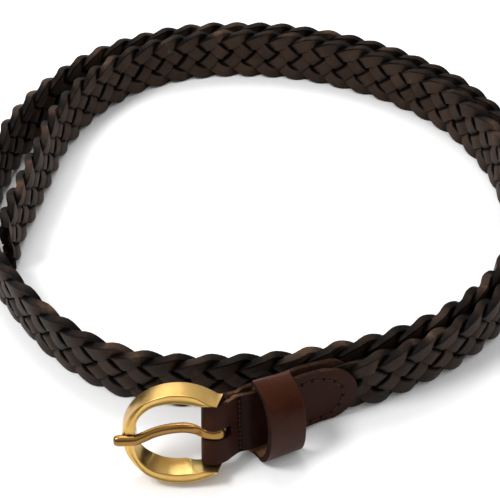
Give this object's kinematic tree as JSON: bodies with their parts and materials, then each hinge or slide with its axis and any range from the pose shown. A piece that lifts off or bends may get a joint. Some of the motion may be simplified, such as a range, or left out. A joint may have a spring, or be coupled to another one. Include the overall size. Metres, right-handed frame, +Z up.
{
  "type": "braided leather belt",
  "caption": "Narrow flat-braided dark brown leather belt with a brass horseshoe prong buckle, folded tab and loose keeper loop, standing on edge in a loose spiral.",
  "frame": {"origin": "middle of the standing belt's bounding box, on the surface it stands on", "axes": "+Z up along the belt's width, +X to the right and +Y away, seen from the side the buckle is on"},
  "size_m": [0.1884, 0.2014, 0.0292],
  "materials": {
    "braid_leather": "satin",
    "tab_leather": "satin",
    "keeper_leather": "semi-gloss",
    "brass": "satin"
  },
  "bodies": {
    "strap": {"braided_strap": "braid_leather", "tab": "tab_leather", "keeper_loop": "keeper_leather"},
    "buckle": {"buckle_frame": "brass"},
    "prong": {"prong": "brass"}
  },
  "joints": [
    {"name": "buckle_swing", "type": "hinge", "parent": "strap", "child": "buckle", "pos_m": [-0.01276, -0.09128, 0.01401], "axis": [0, 0.342, 0.9397], "range_deg": [-25, 60]},
    {"name": "prong_swing", "type": "hinge", "parent": "buckle", "child": "prong", "pos_m": [-0.01276, -0.09128, 0.01401], "axis": [0, 0.342, 0.9397], "range_deg": [0, 90]}
  ]
}
